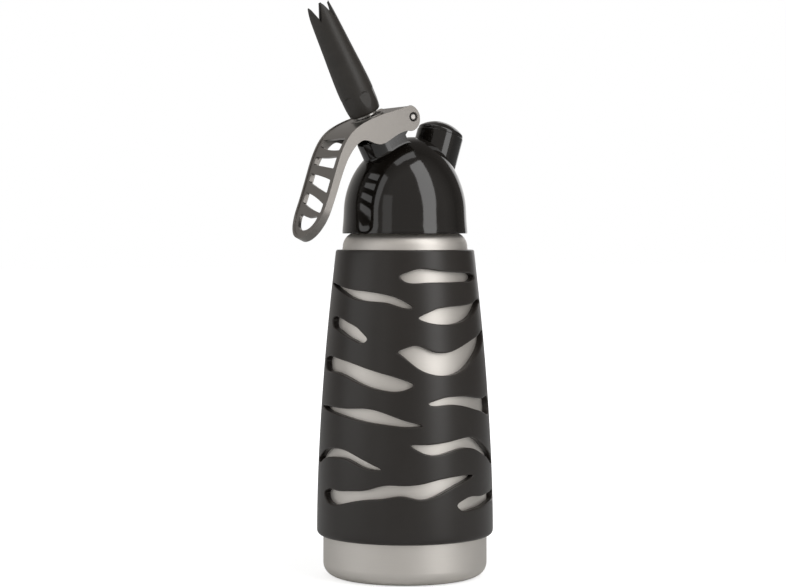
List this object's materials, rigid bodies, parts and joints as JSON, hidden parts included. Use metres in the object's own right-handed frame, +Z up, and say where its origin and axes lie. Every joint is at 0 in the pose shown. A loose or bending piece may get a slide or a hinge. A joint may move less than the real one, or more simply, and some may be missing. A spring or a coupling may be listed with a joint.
{
  "type": "whipped cream dispenser",
  "caption": "Tapered metal bottle in a rubber sleeve with wavy cut-outs; domed screw-on head with squeeze lever, leaning spout with toothed tip, and a capped gas charger inlet.",
  "frame": {"origin": "centre of the bottle's flat foot, on the surface it stands on", "axes": "+Z up along the bottle's axis; the lever and the leaning spout point towards -X, the charger inlet towards +X; the X-Z plane is the plane of symmetry"},
  "size_m": [0.1068, 0.0908, 0.2921],
  "materials": {
    "bottle_steel": "fine satin spun steel",
    "sleeve_rubber": "satin black moulded rubber",
    "head_plastic": "polished black moulded plastic",
    "lever_metal": "satin die-cast metal with bright rounded rims",
    "tip_plastic": "satin black moulded plastic",
    "valve_steel": "turned stainless steel",
    "insert_metal": "turned aluminium",
    "spring_wire": "drawn bright wire",
    "seal_rubber": "matt black silicone rubber",
    "guide_plastic": "natural white moulded plastic"
  },
  "bodies": {
    "bottle": {"bottle": "bottle_steel", "grip_sleeve": "sleeve_rubber"},
    "gasket": {"head_gasket": "seal_rubber"},
    "head": {"head_body": "head_plastic", "head_insert": "insert_metal", "valve_guide": "guide_plastic", "guide_seal": "seal_rubber", "stem_seals": "seal_rubber", "return_spring": "spring_wire", "pivot_pin": "valve_steel", "inlet_fitting": "valve_steel", "inlet_seal": "seal_rubber", "piercing_pin": "valve_steel", "charger_seal": "seal_rubber", "check_valve": "seal_rubber", "inlet_nut": "valve_steel"},
    "lever": {"lever": "lever_metal"},
    "valve": {"valve_stem": "valve_steel", "valve_seal": "seal_rubber", "stem_collar": "valve_steel", "tip_adapter": "valve_steel"},
    "tip_seal": {"tip_seal": "seal_rubber"},
    "tip": {"decorator_tip": "tip_plastic"},
    "cap_seal": {"cap_seal": "seal_rubber"},
    "cap": {"inlet_cap": "head_plastic"}
  },
  "joints": [
    {"name": "head_lift", "type": "slide", "parent": "bottle", "child": "gasket", "axis": [0, 0, 1], "range_m": [0, 0.02]},
    {"name": "head_unscrew", "type": "hinge", "parent": "gasket", "child": "head", "pos_m": [0, 0, 0], "axis": [0, 0, 1], "range_deg": [0, 1801]},
    {"name": "lever_press", "type": "hinge", "parent": "head", "child": "lever", "pos_m": [-0.0041, 0, 0.2345], "axis": [0, -1, 0], "range_deg": [0, 9], "stiffness_Nm_per_rad": 0.42, "springref_deg": -5.73},
    {"name": "valve_slide", "type": "slide", "parent": "head", "child": "valve", "axis": [0.4587, 0, -0.8886], "range_m": [0, 0.0026], "deforming": ["return_spring"]},
    {"name": "tip_lift", "type": "slide", "parent": "valve", "child": "tip_seal", "axis": [-0.4587, 0, 0.8886], "range_m": [0, 0.0088]},
    {"name": "tip_unscrew", "type": "hinge", "parent": "tip_seal", "child": "tip", "pos_m": [-0.02312, 0, 0.23644], "axis": [-0.4587, 0, 0.8886], "range_deg": [0, 1981]},
    {"name": "cap_lift", "type": "slide", "parent": "head", "child": "cap_seal", "axis": [0.2924, 0, 0.9563], "range_m": [0, 0.017]},
    {"name": "cap_unscrew", "type": "hinge", "parent": "cap_seal", "child": "cap", "pos_m": [0.0211, 0, 0.2271], "axis": [0.2924, 0, 0.9563], "range_deg": [0, 3061]}
  ],
  "couplings": [
    {"joint": "head_unscrew", "follows": "head_lift", "rad_per_m": 1570.8},
    {"joint": "valve_slide", "follows": "lever_press", "m_per_rad": 0.0159},
    {"joint": "tip_unscrew", "follows": "tip_lift", "rad_per_m": 3927},
    {"joint": "cap_unscrew", "follows": "cap_lift", "rad_per_m": 3141.6}
  ]
}
